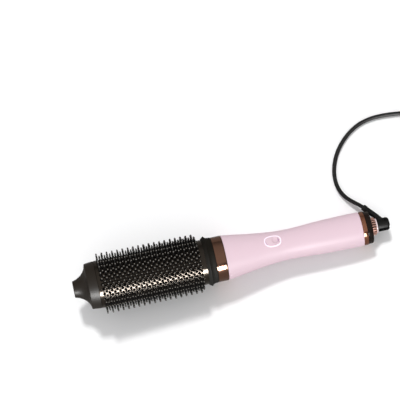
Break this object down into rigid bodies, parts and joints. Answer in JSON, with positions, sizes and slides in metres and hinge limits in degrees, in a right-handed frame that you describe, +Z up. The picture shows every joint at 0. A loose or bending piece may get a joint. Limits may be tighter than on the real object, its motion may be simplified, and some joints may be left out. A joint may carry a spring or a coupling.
{
  "type": "hot air brush",
  "caption": "Hair styling tool: a vented barrel of bristles that blows warm air, on a slim powered handle with a folding swivel cord.",
  "frame": {"origin": "centre of the tool's footprint, on the surface it lies on; the cord and plug are left out of it", "axes": "+X from the nose to the cord end, +Y to the side the cord folds back along, +Z up. The tool's own axis dips 4.3 degrees towards the cord end, because it lies on its bristles and its rear ring"},
  "size_m": [0.4938, 0.1601, 0.0751],
  "materials": {
    "black_plastic": "satin moulded black",
    "gloss_black": "polished black",
    "guard_rubber": "matte dark grey rubber",
    "bronze_metal": "glossy bronze coating",
    "copper_metal": "glossy rose copper coating",
    "pink_shell": "satin pale pink",
    "light_guide": "translucent white light ring",
    "bristle_nylon": "black nylon with grey tips",
    "steel": "plain steel",
    "board": "green circuit board",
    "mica": "pressed mica sheet",
    "cord_rubber": "matte black cord sheath"
  },
  "bodies": {
    "housing": {"nose_tip": "black_plastic", "nose_hub": "black_plastic", "nose_screw": "steel", "barrel_sleeve": "bronze_metal", "bristle_strip_01": "bristle_nylon", "bristle_strip_02": "bristle_nylon", "bristle_strip_03": "bristle_nylon", "bristle_strip_04": "bristle_nylon", "bristle_strip_05": "bristle_nylon", "bristle_strip_06": "bristle_nylon", "bristle_strip_07": "bristle_nylon", "bristle_strip_08": "bristle_nylon", "bristle_strip_09": "bristle_nylon", "bristle_strip_10": "bristle_nylon", "strip_carrier": "black_plastic", "coupling_tube": "black_plastic", "guard_ring": "guard_rubber", "front_collar": "copper_metal", "handle_sleeve": "pink_shell", "light_ring": "light_guide", "chassis_left": "black_plastic", "chassis_right": "black_plastic", "chassis_screw_1": "steel", "chassis_screw_2": "steel", "control_board": "board", "tact_switch": "black_plastic", "capacitor": "black_plastic", "heatsink": "steel", "mica_plate_a": "mica", "mica_plate_b": "mica", "mica_sleeve": "mica", "heater_coil": "steel", "thermostat": "steel", "thermal_fuse": "light_guide", "motor_can": "steel", "motor_end_bell": "black_plastic", "motor_mount": "guard_rubber", "rear_trim_ring": "copper_metal", "end_cap": "gloss_black", "filter_screen": "black_plastic", "slip_disc": "board", "cord_collar": "copper_metal", "collar_rim": "pink_shell"},
    "fan_rotor": {"motor_shaft": "steel", "motor_armature": "steel", "impeller": "black_plastic"},
    "button": {"power_button": "pink_shell", "switch_plunger": "steel"},
    "swivel": {"swivel_fork": "black_plastic", "swivel_clip": "steel", "pivot_pin": "steel"},
    "cord_lead": {"cord_arm": "cord_rubber", "mains_cord": "cord_rubber", "cord_coil": "cord_rubber", "cord_tie": "cord_rubber", "plug_relief": "cord_rubber", "plug_body": "black_plastic", "plug_pin_a": "steel", "plug_pin_b": "steel"}
  },
  "joints": [
    {"name": "fan_spin", "type": "hinge", "parent": "housing", "child": "fan_rotor", "pos_m": [0.12733, 0, 0.02051], "axis": [0.9972, 0, -0.0751], "continuous": true},
    {"name": "button_press", "type": "slide", "parent": "housing", "child": "button", "axis": [-0.0727, -0.2504, -0.9654], "range_m": [0, 0.0008], "stiffness_N_per_m": 1200},
    {"name": "swivel_spin", "type": "hinge", "parent": "housing", "child": "swivel", "pos_m": [0.1712, 0, 0.01721], "axis": [0.9972, 0, -0.0751], "continuous": true},
    {"name": "arm_fold", "type": "hinge", "parent": "swivel", "child": "cord_lead", "pos_m": [0.17366, 0.00142, 0.01655], "axis": [-0.0713, -0.3156, -0.9462], "range_deg": [0, 127]}
  ]
}
